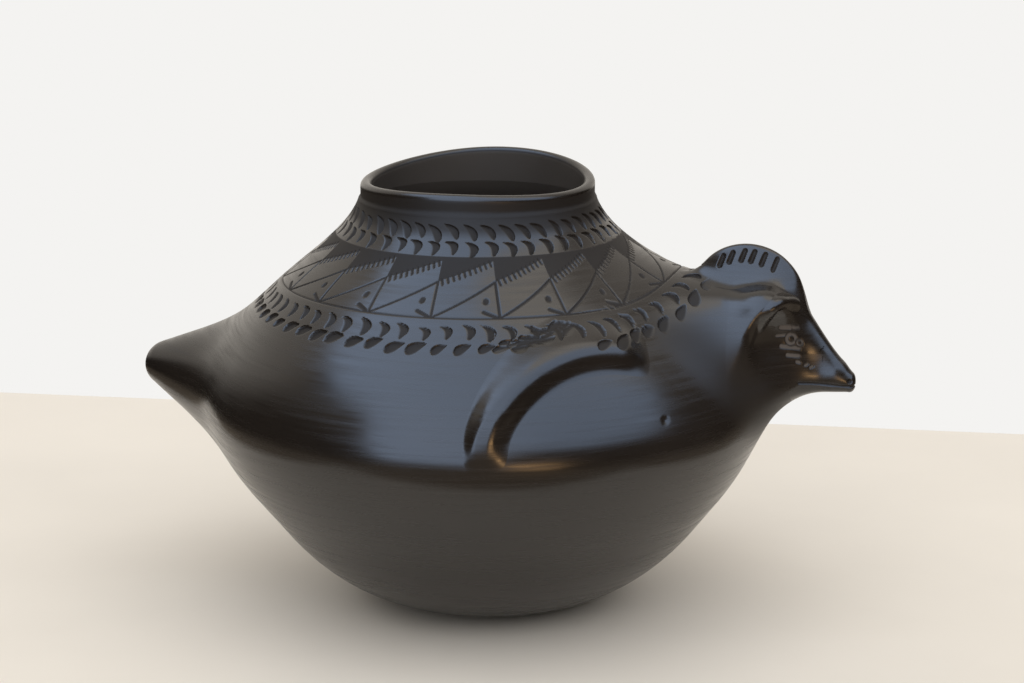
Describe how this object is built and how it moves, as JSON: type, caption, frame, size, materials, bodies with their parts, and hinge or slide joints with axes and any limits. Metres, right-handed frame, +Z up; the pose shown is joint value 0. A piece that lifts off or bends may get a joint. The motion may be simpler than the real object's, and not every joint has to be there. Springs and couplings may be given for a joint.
{
  "type": "effigy pot",
  "caption": "Hand-built bird-shaped jar: round burnished black clay bowl with a short open neck, a swelling tail, relief wings and a crested head with a beak.",
  "frame": {"origin": "middle of the flat foot, on the surface the pot stands on", "axes": "+Z up, +X from the bowl towards the beak, +Y towards the bird's left wing"},
  "size_m": [0.3153, 0.24, 0.189],
  "materials": {
    "burnished_clay": "burnished, reduction-fired black earthenware"
  },
  "bodies": {
    "root": {"base_bowl": "burnished_clay", "belly_wall": "burnished_clay", "shoulder_wall": "burnished_clay", "leaf_band_ring": "burnished_clay", "line_band_ring": "burnished_clay", "neck_collar": "burnished_clay", "rim_coil": "burnished_clay", "tail": "burnished_clay", "head": "burnished_clay", "beak": "burnished_clay", "crest": "burnished_clay", "left_brow": "burnished_clay", "right_brow": "burnished_clay", "left_wing": "burnished_clay", "right_wing": "burnished_clay"}
  },
  "joints": []
}
